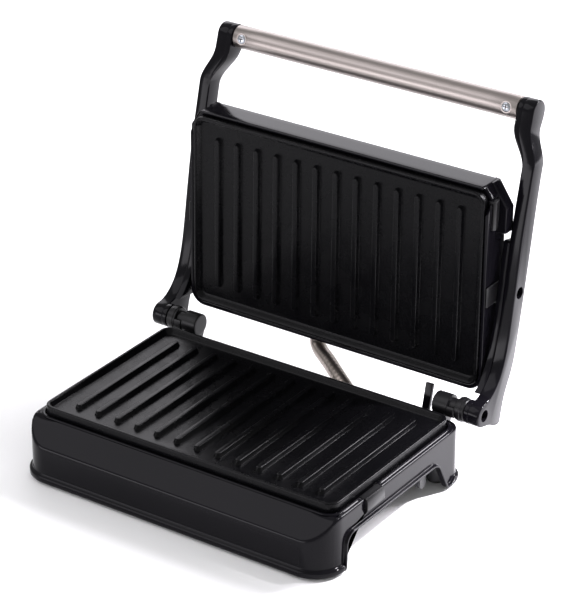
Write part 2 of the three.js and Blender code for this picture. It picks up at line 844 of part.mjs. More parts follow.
function lidProfileXZ(inset) {
  const crown = upperRim + lidHeight - inset;
  const edge = upperRim + lidFrontEdge - inset * 0.4;
  const low = upperRim - 5;
  const half = lidHalfX - inset;
  return [
    [-half, low],
    [half, low],
    [half, edge],
    [half - lidShoulder, crown],
    [-half + lidShoulder, crown],
    [-half, edge],
  ].map(([x, z]) => new THREE.Vector2(x, z));
}

const lidOutline = (inset) =>
  roundedRectangle(
    -lidHalfX + inset,
    lidHalfX - inset,
    lidFront + inset,
    lidRear - inset,
    plateCorner + slideFit + lidWall - inset,
  );

const lidSkirt = 0.8; // skirt edge above the rim plane at the sides and the rear
const lidFrontLip = 5.5; // the same at the front

function wing(side) {
  const outline = [
    [lidHalfX - 1, -plateHalfY + 2],
    [lidHalfX + wingReach, -wingFront],
    [lidHalfX + wingReach, -wingRear],
    [lidHalfX - 1, -wingRear],
  ].map(([x, y]) => new THREE.Vector2(x, y));
  return mirroredX(prismZ(outline, upperRim + wingLow, upperRim + wingHigh), side);
}

const lampRadius = 2.5;
const lamps = [
  ["power_lamp", 74, redLens],
  ["ready_lamp", 87, greenLens],
];
const lampY = -44;

const upperLatchY = 53.5;
const upperSpringX = lidHalfX - lidWall - 6 - fit - springLength;
const upperSpringRise = 17;
const springSeat = block(upperSpringX - fit - 2.5, upperSpringX - fit, -upperLatchY - 4, -upperLatchY + 4,
  upperRim + upperSpringRise - 3, upperRim + lidHeight - lidWall + 0.5);

function lidCover() {
  const outer = common(
    prismZ(lidOutline(0), upperRim + lidSkirt, upperRim + lidHeight),
    prismX(lidProfileYZ(0), -lidHalfX, lidHalfX),
    prismY(lidProfileXZ(0), lidFront, lidRear),
  );
  const inner = common(
    prismZ(lidOutline(lidWall), upperRim - 1, upperRim + lidHeight - lidWall),
    prismX(lidProfileYZ(lidWall), -lidHalfX, lidHalfX),
    prismY(lidProfileXZ(lidWall), lidFront, lidRear),
  );
  const conduitHole = rodY(conduitRadius + 2, lidRear - lidWall - 1, lidRear + 1, conduitLidX,
    upperRim + conduitLidRise);
  return cut(
    join(cut(join(outer, wing(-1), wing(1)), inner), springSeat),
    block(-150, 150, lidFront - 1, -plateHalfY + 12, upperRim - 1, upperRim + lidFrontLip),
    conduitHole,
    ...lamps.map(([, x]) => rodZ(lampRadius + fit, upperRim + 20, upperRim + lidHeight + 1, x, lampY, 16)),
    ...sides.map(([, side]) =>
      mirroredX(rodX(pivotPinRadius + fit, 100, lidHalfX + 1, lidPivotY, pivotZ, 16), side),
    ),
    block(lidHalfX - lidWall - 1, lidHalfX + 1, -upperLatchY - latchWidth / 2 - fit,
      -upperLatchY + latchWidth / 2 + fit, upperRim + lidSkirt + 4, upperRim + 14),
  );
}

add(lid, "lid_cover", lidCover(), glossBlack);

const upperLatch = prismY(
  [
    [lidHalfX - lidWall - 6, 5.2],
    [lidHalfX + 1.4, 5.2],
    [lidHalfX + 2.4, 7],
    [lidHalfX + 1.4, 11],
    [lidHalfX + 0.4, 13.6],
    [lidHalfX - lidWall - 3.4, 13.6],
    [lidHalfX - lidWall - 3.4, 20],
    [lidHalfX - lidWall - 6, 20],
  ].map(([x, n]) => new THREE.Vector2(x, upperRim + n)),
  -upperLatchY - latchWidth / 2,
  -upperLatchY + latchWidth / 2,
);
add(lid, "upper_plate_latch", cut(upperLatch, prismZ(plateOpening, upperRim, upperRim + plateHeight + fit)),
  satinBlack);
add(
  lid,
  "upper_latch_spring",
  coilSpring([upperSpringX, -upperLatchY, upperRim + upperSpringRise], springLength),
  zinc,
);

for (const [name, side] of sides) {
  const plate = cut(
    block(lidHalfX + fit, lidHalfX + fit + bracketThickness, lidPivotY - bracketWidth / 2,
      lidPivotY + bracketWidth / 2, upperRim + 1.2, upperRim + 29),
    rodX(pivotPinRadius + fit, 100, lidHalfX + 5, lidPivotY, pivotZ, 16),
  );
  add(lid, `pivot_bracket_${name}`, mirroredX(plate, side), satinBlack);
}

for (const [name, x, material] of lamps) {
  const crown = upperRim + lidHeight;
  const lens = join(
    rodZ(lampRadius, crown - 4, crown + 0.6, x, lampY, 16),
    rodZ(lampRadius + 1.2, crown - 5.5, crown - lidWall - fit, x, lampY, 16),
  );
  add(lid, name, lens, material);
}

// ---------- wiring conduit and its glands ----------
const gland = () =>
  cut(
    join(
      rodY(conduitRadius + 2 - fit, -2.8, 4, 0, 0, 24),
      rodY(conduitRadius + 3, 0, 2.2, 0, 0, 24),
    ),
    rodY(conduitRadius + fit, -10, 10, 0, 0, 24),
  );
// A blade on the rear wall whose tip leans over the hinge line, drawn about its own small axis.
const leverWidth = 5.6;
const leverAxisY = baseRear + 4.8;
const leverAxisZ = leverZ + 0.5;
function releaseLever() {
  const blade = [
    [leverAxisY - 2.6, leverAxisZ - 3],
    [leverAxisY + 2.6, leverAxisZ - 3],
    [leverAxisY + 12, 33],
    [leverAxisY + 16.6, 50.6],
    [leverAxisY + 14, 51.4],
    [leverAxisY + 9.4, 34],
    [leverAxisY - 2.6, leverAxisZ + 3],
  ].map(([y, z]) => new THREE.Vector2(y, z));
  return cut(
    prismX(blade, leverX + 3.4, leverX + 3.4 + leverWidth),
    rodX(1.5 + fit, leverX, leverX + 20, leverAxisY, leverAxisZ, 16),
  );
}
add(base, "hinge_release_lever", releaseLever(), glossBlack);

function leverBracket() {
  const from = leverX + 3.4 - fit;
  const to = leverX + 3.4 + leverWidth + fit;
  const cheek = [
    [baseRear + fit, leverAxisZ - 4],
    [leverAxisY + 4, leverAxisZ - 4],
    [leverAxisY + 4, leverAxisZ + 4],
    [baseRear + fit, leverAxisZ + 4],
  ].map(([y, z]) => new THREE.Vector2(y, z));
  return join(
    prismX(cheek, from - 2, from),
    prismX(cheek, to, to + 2),
    rodX(1.5, from - 1, to + 1, leverAxisY, leverAxisZ, 16),
    block(from - 2, to + 2, baseRear + fit, baseRear + 1.2, leverAxisZ - 4, leverAxisZ + 4),
  );
}
add(base, "lever_bracket", leverBracket(), satinBlack);

add(base, "conduit_gland_base", gland().translate([conduitBaseX, baseRear + fit, conduitBaseZ]), satinBlack);
add(
  lid,
  "conduit_gland_lid",
  gland().translate([conduitLidX, lidRear + fit, upperRim + conduitLidRise]),
  satinBlack,
);

// A (y, z) point turned about another by an angle.
function turned([y, z], [aboutY, aboutZ], degrees) {
  const point = new THREE.Vector2(y, z).rotateAround(new THREE.Vector2(aboutY, aboutZ), radians(degrees));
  return [point.x, point.y];
}

// Where the lid's gland is with the lid open: tilted about the pivot, then swung about the hinge.
const [lidGlandY, lidGlandZ] = turned(
  turned([lidRear + fit - lidForward, upperRim + conduitLidRise], [pivotY, pivotZ], lidTilt),
  [hingeY, hingeZ],
  -openAngle,
);
const conduitSag = 12;
const conduit = [
  [conduitBaseX, baseRear - 1, conduitBaseZ],
  [conduitBaseX, baseRear + 6, conduitBaseZ],
  [conduitBaseX - 6, baseRear + 11.5, conduitBaseZ + 1.6],
  [conduitBaseX - 18, baseRear + 19, conduitBaseZ + 5],
  [conduitLidX + 17, lidGlandY - 11, lidGlandZ - conduitSag - 2],
  [conduitLidX + 6, lidGlandY - 4, lidGlandZ - conduitSag],
  [conduitLidX + 0.8, lidGlandY - 0.6, lidGlandZ - conduitSag + 3],
  [conduitLidX, lidGlandY, lidGlandZ - 5],
  [conduitLidX, lidGlandY, lidGlandZ - 2.5],
  [conduitLidX, lidGlandY, lidGlandZ],
];
add(press, "wiring_conduit", bentRod(conduit, conduitRadius, 24, 6), brushedSteel);

// The origin is under the middle of the whole press, on the surface it stands on.
const bounds = new THREE.Box3().setFromObject(press, true);
press.position.y = -(bounds.min.y + bounds.max.y) / 2;

export default press;
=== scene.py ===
"""Panini press, open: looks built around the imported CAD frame.

Shapes are written in drawing millimetres (X across, Y back, Z up from the worktop, lid and arms closed),
then carried to the open pose and to the frame's metres.
"""
import json
import math

import bmesh
import bpy
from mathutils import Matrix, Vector

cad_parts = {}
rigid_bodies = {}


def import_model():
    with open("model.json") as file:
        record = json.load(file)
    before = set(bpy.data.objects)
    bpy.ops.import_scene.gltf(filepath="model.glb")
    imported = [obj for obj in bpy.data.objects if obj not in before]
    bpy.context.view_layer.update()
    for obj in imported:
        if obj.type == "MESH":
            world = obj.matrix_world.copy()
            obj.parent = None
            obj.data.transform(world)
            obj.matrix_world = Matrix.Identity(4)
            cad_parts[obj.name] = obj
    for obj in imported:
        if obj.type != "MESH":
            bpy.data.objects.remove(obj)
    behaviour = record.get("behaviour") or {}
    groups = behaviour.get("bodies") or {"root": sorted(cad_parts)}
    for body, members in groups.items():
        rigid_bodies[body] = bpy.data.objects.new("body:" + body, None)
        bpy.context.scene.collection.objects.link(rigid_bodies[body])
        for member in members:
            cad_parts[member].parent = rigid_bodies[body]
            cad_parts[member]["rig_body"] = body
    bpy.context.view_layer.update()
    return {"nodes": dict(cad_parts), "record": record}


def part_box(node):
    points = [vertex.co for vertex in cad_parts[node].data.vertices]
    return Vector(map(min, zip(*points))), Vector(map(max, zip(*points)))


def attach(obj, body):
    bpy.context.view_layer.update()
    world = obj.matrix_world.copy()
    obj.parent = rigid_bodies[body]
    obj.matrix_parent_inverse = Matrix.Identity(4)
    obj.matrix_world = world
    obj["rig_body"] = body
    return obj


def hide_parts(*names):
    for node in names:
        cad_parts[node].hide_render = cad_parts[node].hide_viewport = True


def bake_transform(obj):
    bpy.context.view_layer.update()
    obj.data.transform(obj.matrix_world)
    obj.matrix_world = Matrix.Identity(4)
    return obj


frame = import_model()

# ---------------------------------------------------------------- drawing frame
MM = 0.001
DRAWING_Y = -36.0039  # the drawing's zero, along the frame's Y
HINGE = (82.8, 46.8)  # (y, z) of the arms' axis
OPEN = -103.2  # degrees the arms are turned by
PIVOT = (2.3, 69.2)  # (y, z) of the lid's axis, arms closed
TILT = 12.3  # degrees the lid is turned by on its pivots
LID_FORWARD = 1.0
RIM = 47.5  # height of the lower plate's rim
LID_RIM = 48.0  # height of the upper plate's rim, arms closed
LEDGE = 41.1  # height of the housing's top


def turned(y, z, about, degrees):
    c, s = math.cos(math.radians(degrees)), math.sin(math.radians(degrees))
    dy, dz = y - about[0], z - about[1]
    return about[0] + c * dy - s * dz, about[1] + s * dy + c * dz


def on_base(p):
    return Vector((p[0], p[1] + DRAWING_Y, p[2])) * MM


def on_arms(p):
    y, z = turned(p[1], p[2], HINGE, OPEN)
    return on_base((p[0], y, z))


def on_lid(p):
    """A lid point: its height is counted from the upper plate's rim."""
    y, z = turned(p[1] - LID_FORWARD, p[2] + LID_RIM, PIVOT, TILT)
    return on_arms((p[0], y, z))


# ---------------------------------------------------------------- materials
class Finish:
    """A Principled material with helpers for procedural detail in object coordinates."""

    def __init__(self, name, colour, roughness, metallic=0.0, **sockets):
        self.mat = bpy.data.materials.new(name)
        self.mat.use_nodes = True
        self.tree = self.mat.node_tree
        self.shader = self.tree.nodes["Principled BSDF"]
        self.shader.inputs["Base Color"].default_value = (*colour, 1)
        self.shader.inputs["Roughness"].default_value = roughness
        self.shader.inputs["Metallic"].default_value = metallic
        for socket, value in sockets.items():
            self.shader.inputs[socket.replace("_", " ")].default_value = value
        self.coords = self.tree.nodes.new("ShaderNodeTexCoord").outputs["Object"]
        self.height = None

    def mapped(self, scale):
        node = self.tree.nodes.new("ShaderNodeMapping")
        node.inputs["Scale"].default_value = scale
        self.tree.links.new(self.coords, node.inputs["Vector"])
        return node.outputs["Vector"]

    def noise(self, scale, detail=4.0, stretch=(1, 1, 1), roughness=0.55):
        node = self.tree.nodes.new("ShaderNodeTexNoise")
        node.inputs["Scale"].default_value = scale
        node.inputs["Detail"].default_value = detail
        node.inputs["Roughness"].default_value = roughness
        self.tree.links.new(self.mapped(stretch), node.inputs["Vector"])
        return node.outputs["Fac"]

    def cells(self, scale, stretch=(1, 1, 1)):
        node = self.tree.nodes.new("ShaderNodeTexVoronoi")
        node.inputs["Scale"].default_value = scale
        self.tree.links.new(self.mapped(stretch), node.inputs["Vector"])
        return node.outputs["Distance"]

    def ramp(self, value, low, high, start, end):
        node = self.tree.nodes.new("ShaderNodeMapRange")
        node.inputs["From Min"].default_value = low
        node.inputs["From Max"].default_value = high
        node.inputs["To Min"].default_value = start
        node.inputs["To Max"].default_value = end
        self.tree.links.new(value, node.inputs["Value"])
        return node.outputs["Result"]

    def vary_roughness(self, value, start, end, low=0.35, high=0.65):
        self.tree.links.new(self.ramp(value, low, high, start, end), self.shader.inputs["Roughness"])
        return self

    def vary_colour(self, value, first, second, low=0.35, high=0.65):
        node = self.tree.nodes.new("ShaderNodeMix")
        node.data_type = "RGBA"
        node.inputs["A"].default_value = (*first, 1)
        node.inputs["B"].default_value = (*second, 1)
        self.tree.links.new(self.ramp(value, low, high, 0, 1), node.inputs["Factor"])
        self.tree.links.new(node.outputs["Result"], self.shader.inputs["Base Color"])
        return self

    def bump(self, value, strength, distance):
        node = self.tree.nodes.new("ShaderNodeBump")
        node.inputs["Strength"].default_value = strength
        node.inputs["Distance"].default_value = distance
        self.tree.links.new(value, node.inputs["Height"])
        if self.height is not None:
            self.tree.links.new(self.height, node.inputs["Normal"])
        self.height = node.outputs["Normal"]
        self.tree.links.new(self.height, self.shader.inputs["Normal"])
        return self


def gloss_black():
    f = Finish("gloss_black", (0.0040, 0.0036, 0.0048), 0.13, IOR=1.52, Specular_IOR_Level=0.10)
    f.vary_roughness(f.noise(38, 6), 0.09, 0.15)
    f.vary_colour(f.noise(9, 3), (0.0034, 0.0031, 0.0044), (0.0046, 0.0042, 0.0058))
    return f.bump(f.noise(26, 2), 0.05, 0.0004).bump(f.noise(900, 2), 0.03, 0.00005).mat


def satin_black():
    f = Finish("satin_black", (0.006, 0.0058, 0.0065), 0.36, Specular_IOR_Level=0.2)
    f.vary_roughness(f.noise(60, 5), 0.30, 0.42)
    f.vary_colour(f.noise(20, 4), (0.005, 0.0048, 0.0055), (0.0075, 0.0072, 0.008))
    return f.bump(f.noise(1400, 3), 0.25, 0.00006).mat


def non_stick():
    f = Finish("non_stick", (0.004, 0.004, 0.0047), 0.34, IOR=1.2)
    f.vary_roughness(f.noise(55, 6), 0.20, 0.32)
    f.vary_colour(f.cells(1500), (0.0046, 0.0044, 0.0052), (0.0020, 0.0020, 0.0025), 0.1, 0.7)
    return f.bump(f.noise(1100, 4), 0.55, 0.00012).bump(f.cells(700), 0.18, 0.00008).mat


def grip_steel():
    f = Finish("grip_steel", (0.30, 0.27, 0.258), 0.34, 1.0)
    lines = f.noise(60, 8, (0.02, 1, 1), 0.7)
    fine = f.noise(420, 6, (0.006, 1, 1), 0.8)
    f.vary_roughness(lines, 0.30, 0.44)
    f.vary_colour(fine, (0.235, 0.208, 0.195), (0.33, 0.298, 0.282))
    return f.bump(fine, 0.22, 0.00006).bump(lines, 0.10, 0.00008).mat


def zinc():
    f = Finish("zinc_steel", (0.40, 0.42, 0.45), 0.24, 1.0)
    f.vary_roughness(f.noise(160, 5), 0.18, 0.34)
    f.vary_colour(f.noise(70, 4), (0.34, 0.357, 0.3825), (0.40, 0.42, 0.45))
    return f.bump(f.noise(800, 3), 0.10, 0.00004).mat


def sheet_metal(name, dark, light, roughness):
    f = Finish(name, light, roughness, 1.0)
    f.vary_roughness(f.noise(45, 6), roughness * 0.85, roughness * 1.2)
    f.vary_colour(f.noise(18, 5), dark, light)
    return f.bump(f.noise(500, 3), 0.12, 0.00005).mat


def painted_steel():
    f = Finish("painted_steel", (0.02, 0.02, 0.022), 0.5)
    f.vary_roughness(f.noise(50, 5), 0.42, 0.6)
    f.vary_colour(f.noise(30, 4), (0.017, 0.017, 0.018), (0.024, 0.024, 0.027))
    return f.bump(f.cells(900), 0.3, 0.00010).mat


def rubber():
    f = Finish("rubber", (0.016, 0.016, 0.017), 0.8)
    f.vary_colour(f.noise(90, 5), (0.012, 0.012, 0.013), (0.024, 0.024, 0.024))
    return f.bump(f.noise(1500, 3), 0.4, 0.00008).mat


def ceramic():
    f = Finish("ceramic", (0.72, 0.68, 0.6), 0.6)
    f.vary_colour(f.noise(120, 5), (0.62, 0.58, 0.5), (0.78, 0.75, 0.68))
    return f.bump(f.noise(1200, 3), 0.25, 0.00006).mat


def lens(name, colour):
    f = Finish(name, colour, 0.08, Transmission_Weight=0.35)
    f.vary_colour(f.noise(200, 2), tuple(0.8 * c for c in colour), colour)
    return f.bump(f.cells(1200), 0.15, 0.00005).mat


GLOSS = gloss_black()
SATIN = satin_black()
COAT = non_stick()
GRIP = grip_steel()
ZINC = zinc()
CONDUIT = sheet_metal("conduit_steel", (0.20, 0.165, 0.145), (0.36, 0.315, 0.285), 0.3)
SHEET = sheet_metal("sheet_steel", (0.42, 0.42, 0.43), (0.58, 0.58, 0.59), 0.4)
ALUMINIUM = sheet_metal("reflector_aluminium", (0.55, 0.55, 0.56), (0.72, 0.72, 0.73), 0.35)
HEATER = sheet_metal("heater_steel", (0.16, 0.14, 0.13), (0.30, 0.26, 0.24), 0.45)
PAINT = painted_steel()
RUBBER = rubber()
CERAMIC = ceramic()
BY_SLOT = {
    "gloss_black": GLOSS, "satin_black": SATIN, "non_stick": COAT, "grip_steel": GRIP, "zinc_steel": ZINC,
    "sheet_steel": SHEET, "reflector_aluminium": ALUMINIUM, "heater_steel": HEATER, "conduit_steel": CONDUIT,
    "painted_steel": PAINT, "rubber": RUBBER, "ceramic": CERAMIC,
    "red_lens": lens("red_lens", (0.55, 0.03, 0.02)), "green_lens": lens("green_lens", (0.03, 0.35, 0.08)),
}
slot_of = {part["node"]: part["material_slot"] for part in frame["record"]["subparts"]}
for node, held in frame["nodes"].items():
    for material_slot in held.material_slots:
        material_slot.material = BY_SLOT[slot_of[node]]


# ---------------------------------------------------------------- mesh helpers
def piece(name, verts, faces, place, material, body, nodes=(), angle=32, ride=True):
    """A mesh from drawing points, with outward normals and edges sharp above an angle."""
    mesh = bpy.data.meshes.new(name)
    mesh.from_pydata([place(v) for v in verts], [], faces)
    bm = bmesh.new()
    bm.from_mesh(mesh)
    bmesh.ops.remove_doubles(bm, verts=bm.verts, dist=2e-6)
    bmesh.ops.recalc_face_normals(bm, faces=bm.faces)
    bm.to_mesh(mesh)
    bm.free()
    return finish_piece(name, mesh, material, body, nodes, angle, ride)


def finish_piece(name, mesh, material, body, nodes=(), angle=32, ride=True):
    """Makes the mesh an object, with its material, its body and the CAD nodes it stands in for."""
    mesh.shade_smooth()
    mesh.set_sharp_from_angle(angle=math.radians(angle))
    mesh.materials.append(material)
    obj = bpy.data.objects.new(name, mesh)
    bpy.context.scene.collection.objects.link(obj)
    if ride:
        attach(obj, body)
    if nodes:
        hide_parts(*nodes)
    return obj


def loft(rings, closed=True, cap_start=False, cap_end=False):
    """Verts and faces of a skin over rings of equal length."""
    count = len(rings[0])
    verts = [p for ring in rings for p in ring]
    faces = []
    for i in range(len(rings) - 1):
        for j in range(count if closed else count - 1):
            k = (j + 1) % count
            faces.append((i * count + j, i * count + k, (i + 1) * count + k, (i + 1) * count + j))
    if cap_start:
        faces.append(tuple(range(count - 1, -1, -1)))
    if cap_end:
        faces.append(tuple(range((len(rings) - 1) * count, len(rings) * count)))
    return verts, faces


def merged(*parts):
    verts, faces = [], []
    for v, f in parts:
        offset = len(verts)
        verts += v
        faces += [tuple(i + offset for i in face) for face in f]
    return verts, faces


def circle(radius, count):
    angles = [2 * math.pi * i / count for i in range(count)]
    return [(radius * math.cos(a), radius * math.sin(a)) for a in angles]


def lathe_x(profile, y, z, count=48, capped=True):
    """A turned shape about an axis along X, from (x, radius) points."""
    rings = [[(x, y + u, z + v) for u, v in circle(radius, count)] for x, radius in profile]
    return loft(rings, cap_start=capped, cap_end=capped)


def lathe_z(profile, x, y, count=40):
    """A turned shape about an upright axis, from (z, radius) points."""
    rings = [[(x + u, y + v, z) for u, v in circle(radius, count)] for z, radius in profile]
    return loft(rings, cap_start=True, cap_end=True)


def rounded_ends(x0, x1, radius, edge, steps=4):
    """(x, radius) points of a cylinder whose two rims are rounded."""
    start = [(x0 + edge * (1 - math.sin(a)), radius - edge * (1 - math.cos(a)))
             for a in [math.pi / 2 * (1 - i / steps) for i in range(steps + 1)]]
    end = [(x1 - (x - x0), r) for x, r in reversed(start)]
    return start + end


def bezier(p0, p1, p2, p3, count):
    out = []
    for i in range(count + 1):
        t = i / count
        u = 1 - t
        out.append(tuple(u**3 * a + 3 * u * u * t * b + 3 * u * t * t * c + t**3 * d
                         for a, b, c, d in zip(p0, p1, p2, p3)))
    return out


def arc(cx, cy, radius, start, end, count):
    """Points along an arc from one angle to another, in degrees."""
    angles = [math.radians(start + (end - start) * i / count) for i in range(count + 1)]
    return [(cx + radius * math.cos(a), cy + radius * math.sin(a)) for a in angles]


def normals_2d(points):
    """Unit normals to the right of the way round, so outwards when it runs anticlockwise."""
    out = []
    n = len(points)
    for i in range(n):
        (x0, y0), (x1, y1) = points[i - 1], points[(i + 1) % n]
        d = math.hypot(x1 - x0, y1 - y0) or 1
        out.append(((y1 - y0) / d, -(x1 - x0) / d))
    return out


def inset(points, amount):
    return [(x - nx * amount, y - ny * amount) for (x, y), (nx, ny) in zip(points, normals_2d(points))]


def filleted(points, radii, steps=6):
    """An open path with its inner corners rounded."""
    out = [points[0]]
    for i in range(1, len(points) - 1):
        a, b, c = Vector(points[i - 1]), Vector(points[i]), Vector(points[i + 1])
        u, v = (a - b).normalized(), (c - b).normalized()
        half = u.angle(v) / 2
        reach = radii[i] / math.tan(half)
        centre = b + (u + v).normalized() * radii[i] / math.sin(half)
        start, end = b + u * reach, b + v * reach
        for k in range(steps + 1):
            way = (start - centre).lerp(end - centre, k / steps).normalized()
            out.append(tuple(centre + way * radii[i]))
    out.append(points[-1])
    return out


def spaced(path, step):
    """The path with points added so that no piece is longer than step."""
    out = [path[0]]
    for a, b in zip(path, path[1:]):
        count = max(1, math.ceil(math.dist(a, b) / step))
        out += [tuple(p + (q - p) * k / count for p, q in zip(a, b)) for k in range(1, count + 1)]
    return out


def rectangle(half_x, half_y, radius, steps=10, step=12.0):
    """A rounded rectangle about the origin, anticlockwise from the front side."""
    cx, cy = half_x - radius, half_y - radius
    path = [(-cx, -half_y)]
    for x, y, start in ((cx, -cy, -90), (cx, cy, 0), (-cx, cy, 90), (-cx, -cy, 180)):
        path += arc(x, y, radius, start, start + 90, steps)
    return spaced(path, step)[:-1]


def slab(outline, x0, x1, edge=0.8, steps=3):
    """A plate lying in the (y, z) plane from x0 to x1, with rounded rims."""
    rings = []
    quarter = [math.pi / 2 * i / steps for i in range(steps + 1)]
    for a in reversed(quarter):
        rings.append([(x0 + edge * (1 - math.sin(a)), *p) for p in inset(outline, edge * (1 - math.cos(a)))])
    for a in quarter:
        rings.append([(x1 - edge * (1 - math.sin(a)), *p) for p in inset(outline, edge * (1 - math.cos(a)))])
    return loft(rings, cap_start=True, cap_end=True)


def softened(node, width, material=None):
    """The CAD node's own shape with its edges rounded, standing in for the node."""
    held = frame["nodes"][node]
    bm = bmesh.new()
    bm.from_mesh(held.data)
    bmesh.ops.remove_doubles(bm, verts=bm.verts, dist=1e-5)
    bmesh.ops.dissolve_limit(bm, angle_limit=math.radians(2), verts=bm.verts, edges=bm.edges)
    sharp = [e for e in bm.edges if len(e.link_faces) == 2 and e.calc_face_angle(0) > math.radians(35)]
    bmesh.ops.bevel(bm, geom=sharp, offset=width * MM, segments=2, affect="EDGES", clamp_overlap=True,
                    profile=0.6)
    bmesh.ops.recalc_face_normals(bm, faces=bm.faces)
    mesh = bpy.data.meshes.new(node + "_soft")
    bm.to_mesh(mesh)
    bm.free()
    material = material or BY_SLOT[slot_of[node]]
    return finish_piece(node + "_soft", mesh, material, held["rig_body"], (node,), 40)


def mirrored(data, side):
    """The shape for the right side, or its mirror image for the left one."""
    verts, faces = data
    return [(side * v[0], *v[1:]) for v in verts], faces


def lerp(a, b, t):
    return a + (b - a) * t


def soft_max(a, b, k):
    """The larger of two numbers, blended where they are within k of each other."""
    h = min(1.0, max(0.0, 0.5 + 0.5 * (a - b) / k))
    return b * (1 - h) + a * h + k * h * (1 - h)


SIDES = (("left", -1), ("right", 1))

# ---------------------------------------------------------------- camera
TARGET = on_base((29.79, 0, 136.94))
AZIMUTH, ELEVATION, DISTANCE = math.radians(34.46), math.radians(26.84), 1.80124
level = math.cos(ELEVATION)
back = Vector((math.sin(AZIMUTH) * level, -math.cos(AZIMUTH) * level, math.sin(ELEVATION)))
camera_data = bpy.data.cameras.new("camera")
camera_data.lens = 170.15
camera_data.sensor_width = 36
camera = bpy.data.objects.new("camera", camera_data)
camera.location = TARGET + back * DISTANCE
camera.rotation_euler = back.to_track_quat("Z", "Y").to_euler()
bpy.context.scene.collection.objects.link(camera)
bpy.context.scene.camera = camera

# ---------------------------------------------------------------- base housing
HALF_X, FRONT, REAR = 120.5, -87.0, 75.0
FRONT_R, REAR_R = 20.0, 10.0
FRONT_X, REAR_X = HALF_X - FRONT_R, HALF_X - REAR_R  # where the corners begin
FRONT_COLUMNS, REAR_COLUMNS = 31, 25
FOOT = 2.0  # height of the lower edge
ARCH_START, ARCH_END, ARCH_TOP = -67, 65, 25.6
PANEL_FOOT, PANEL_TOP_Y = 26.7, -72.6
PANEL_ZONE = -60  # the wall leans with the panel in front of this
PANEL_BLEND = 1.6
LIP = 2.3
ARCH_LIP = 0.34  # the lip is thinner along the side arches
LIP_FADE = 2.2
TOP_EDGE, CORNER_EDGE = 1.8, 4.4
OPENING_X, OPENING_Y, OPENING_R = 115.7, 70.2, 8.6
LATCH_START, LATCH_END, LATCH_X = -44, -20, 115
NEAR = 0.01


def panel_y(z):
    return FRONT + (z - PANEL_FOOT) * (PANEL_TOP_Y - FRONT) / (LEDGE - PANEL_FOOT)


def wall(p, z):
    """The point moved to a height, and back to the leaning panel where it would stand in front of it."""
    y = soft_max(p[1], panel_y(z), PANEL_BLEND) if p[1] < PANEL_ZONE else p[1]
    return p[0], y, z


def housing_columns():
    """The wall's columns: lower point, way up the wall (y, z), plan normal and the lip's scale."""
    arch = filleted([(ARCH_START, FOOT), (-64.6, FOOT), (-63.4, ARCH_TOP), (43.2, ARCH_TOP), (55.5, FOOT),
                     (ARCH_END, FOOT)], [0, 2.2, 7, 10, 3.4, 0], 8)
    arch = spaced(arch, 4.0)
    up = (0, 1)
    side = []
    for x, y in arc(FRONT_X, FRONT + FRONT_R, FRONT_R, -90, 0, 22)[1:-1]:
        normal = ((x - FRONT_X) / FRONT_R, (y - (FRONT + FRONT_R)) / FRONT_R)
        side.append(((x, y, FOOT), up, normal, 1.0))
    for i, (y, z) in enumerate(arch):
        a, b = arch[max(0, i - 1)], arch[min(len(arch) - 1, i + 1)]
        d = math.hypot(b[0] - a[0], b[1] - a[1])
        into = (-(b[1] - a[1]) / d, (b[0] - a[0]) / d)
        from_end = min(abs(y - ARCH_START), abs(y - ARCH_END)) if z < FOOT + NEAR else LIP_FADE
        scale = lerp(1.0, ARCH_LIP, min(1, from_end / LIP_FADE))
        side.append(((HALF_X, y, z), into, (1, 0), scale))
    for x, y in arc(REAR_X, REAR - REAR_R, REAR_R, 0, 90, 12)[1:-1]:
        normal = ((x - REAR_X) / REAR_R, (y - (REAR - REAR_R)) / REAR_R)
        side.append(((x, y, FOOT), up, normal, 1.0))
    columns = []
    for i in range(FRONT_COLUMNS):
        x = lerp(-FRONT_X, FRONT_X, i / (FRONT_COLUMNS - 1))
        columns.append(((x, FRONT, FOOT), up, (0, -1), 1.0))
    columns += side
    for i in range(REAR_COLUMNS):
        x = lerp(REAR_X, -REAR_X, i / (REAR_COLUMNS - 1))
        columns.append(((x, REAR, FOOT), up, (0, 1), 1.0))
    for (x, y, z), into, (nx, ny), scale in reversed(side):
        columns.append(((-x, y, z), into, (-nx, ny), scale))
    return columns


def housing_lip(columns):
    """Rings from inside the lower edge, round the lip and onto the wall."""
    profile = [(9.0, -2.4), (0.9, -2.4), (0.25, -2.1), (0.0, -1.5), (0.0, 1.5), (0.15, 2.0), (0.6, LIP),
               (3.4, LIP), (3.9, 2.1), (4.25, 1.5), (4.5, 0.8), (4.9, 0.3), (5.5, 0.05), (6.0, 0.0)]
    inside = profile[0][0]
    rings = []
    for up, out in profile:
        ring = []
        for (x, y, z), (iy, iz), (nx, ny), scale in columns:
            rise = up * scale if up < inside else up * ARCH_LIP
            on_side = abs(nx) == 1
            ring.append((x + nx * out, y + ny * out + iy * rise * on_side, z + iz * rise))
        rings.append(ring)
    return rings


def opening(p, normal):
    """The point of the opening's edge that belongs to a column of the wall."""
    x, y = p[0], p[1]
    corner_x, corner_y = OPENING_X - OPENING_R, OPENING_Y - OPENING_R
    if abs(x) > HALF_X - NEAR:
        t = (y - ARCH_START) / (ARCH_END - ARCH_START)
        return math.copysign(OPENING_X, x), lerp(-corner_y, corner_y, min(1, max(0, t)))
    if y <= FRONT + NEAR:
        return x * corner_x / FRONT_X, -OPENING_Y
    if y >= REAR - NEAR:
        return x * corner_x / REAR_X, OPENING_Y
    return (math.copysign(corner_x, x) + OPENING_R * normal[0],
            math.copysign(corner_y, y) + OPENING_R * normal[1])


